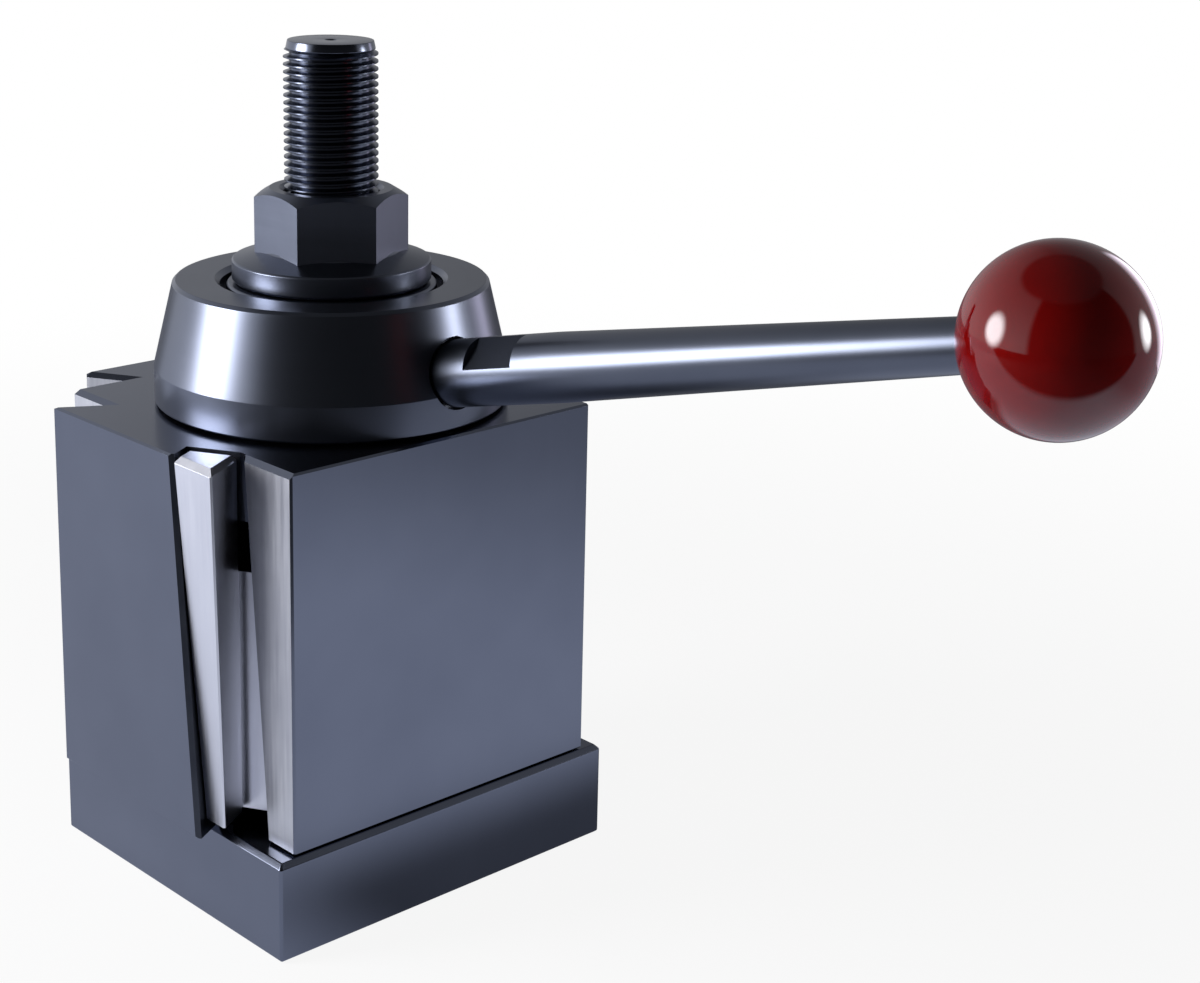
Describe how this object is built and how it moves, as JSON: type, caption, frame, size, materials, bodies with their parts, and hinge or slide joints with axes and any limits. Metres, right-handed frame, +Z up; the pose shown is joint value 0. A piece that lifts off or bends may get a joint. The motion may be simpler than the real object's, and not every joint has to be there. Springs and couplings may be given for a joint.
{
  "type": "wedge quick change tool post",
  "caption": "Square lathe tool post with two dovetail sides, sliding wedge gibs, a cam hub with a ball handle, and a base plate with a stud and flange nut.",
  "frame": {"origin": "on the stud's axis at the underside of the base plate", "axes": "+Z up the stud; -X is the outward way of the first dovetail, +Y of the second; the handle points to -Y"},
  "size_m": [0.1055, 0.2666, 0.2009],
  "materials": {
    "blued_steel": "black oxide over machined and ground steel",
    "ground_steel": "bright ground steel",
    "bronze": "turned bearing bronze",
    "brass": "turned brass",
    "rubber": "moulded nitrile rubber",
    "knob": "polished dark red moulded plastic"
  },
  "bodies": {
    "base": {"base_plate": "blued_steel", "stud": "blued_steel"},
    "post": {"post_body": "blued_steel", "centre_sleeve": "ground_steel", "sleeve_screw_1": "blued_steel", "sleeve_screw_2": "blued_steel", "sleeve_screw_3": "blued_steel", "lower_bush": "bronze", "thrust_washer": "blued_steel", "stop_pin": "ground_steel", "collar_washer": "ground_steel"},
    "cam": {"cam_hub": "blued_steel", "cam_screw": "ground_steel", "drive_pin_1": "ground_steel", "drive_pin_2": "ground_steel", "drive_pin_3": "ground_steel", "upper_bush": "bronze", "hub_seal": "rubber", "handle_rod": "blued_steel", "knob_insert": "brass", "handle_knob": "knob"},
    "gib_a": {"wedge_gib_a": "ground_steel"},
    "gib_b": {"wedge_gib_b": "ground_steel"},
    "nut": {"flange_nut": "blued_steel"}
  },
  "joints": [
    {"name": "post_swivel", "type": "hinge", "parent": "base", "child": "post", "pos_m": [0, 0, 0.0243], "axis": [0, 0, 1], "continuous": true},
    {"name": "cam_turn", "type": "hinge", "parent": "post", "child": "cam", "pos_m": [0, 0, 0.1159], "axis": [0, 0, 1], "range_deg": [-45, 75]},
    {"name": "gib_a_slide", "type": "slide", "parent": "post", "child": "gib_a", "axis": [-0.0363, 0.0629, 0.9974], "range_m": [-0.00309, 0.00511]},
    {"name": "gib_b_slide", "type": "slide", "parent": "post", "child": "gib_b", "axis": [-0.0629, 0.0363, 0.9974], "range_m": [-0.00303, 0.00502]},
    {"name": "nut_turn", "type": "hinge", "parent": "base", "child": "nut", "pos_m": [0, 0, 0.1437], "axis": [0, 0, 1], "continuous": true}
  ],
  "couplings": [
    {"joint": "gib_a_slide", "follows": "cam_turn", "m_per_rad": 0.0038665},
    {"joint": "gib_b_slide", "follows": "cam_turn", "m_per_rad": 0.0037938}
  ]
}
